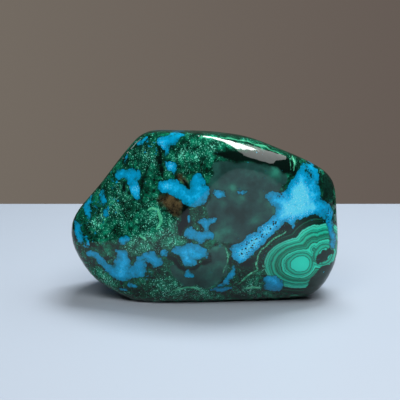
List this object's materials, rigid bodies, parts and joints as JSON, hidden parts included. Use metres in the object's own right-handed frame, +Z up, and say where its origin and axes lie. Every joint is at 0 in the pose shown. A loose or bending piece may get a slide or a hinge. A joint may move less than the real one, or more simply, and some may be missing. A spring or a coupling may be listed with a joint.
{
  "type": "chrysocolla specimen",
  "caption": "Polished freeform of blue chrysocolla in banded green malachite, one solid stone with rounded ground faces and a flat face to rest on.",
  "frame": {"origin": "centre of the stone's box on the flat face that it rests on", "axes": "+X along the stone's length, to the right of its best face; that face looks along -Y; +Z up from the resting face"},
  "size_m": [0.0692, 0.0426, 0.0436],
  "materials": {
    "polished_stone": "polished"
  },
  "bodies": {
    "root": {"polished_stone": "polished_stone"}
  },
  "joints": []
}
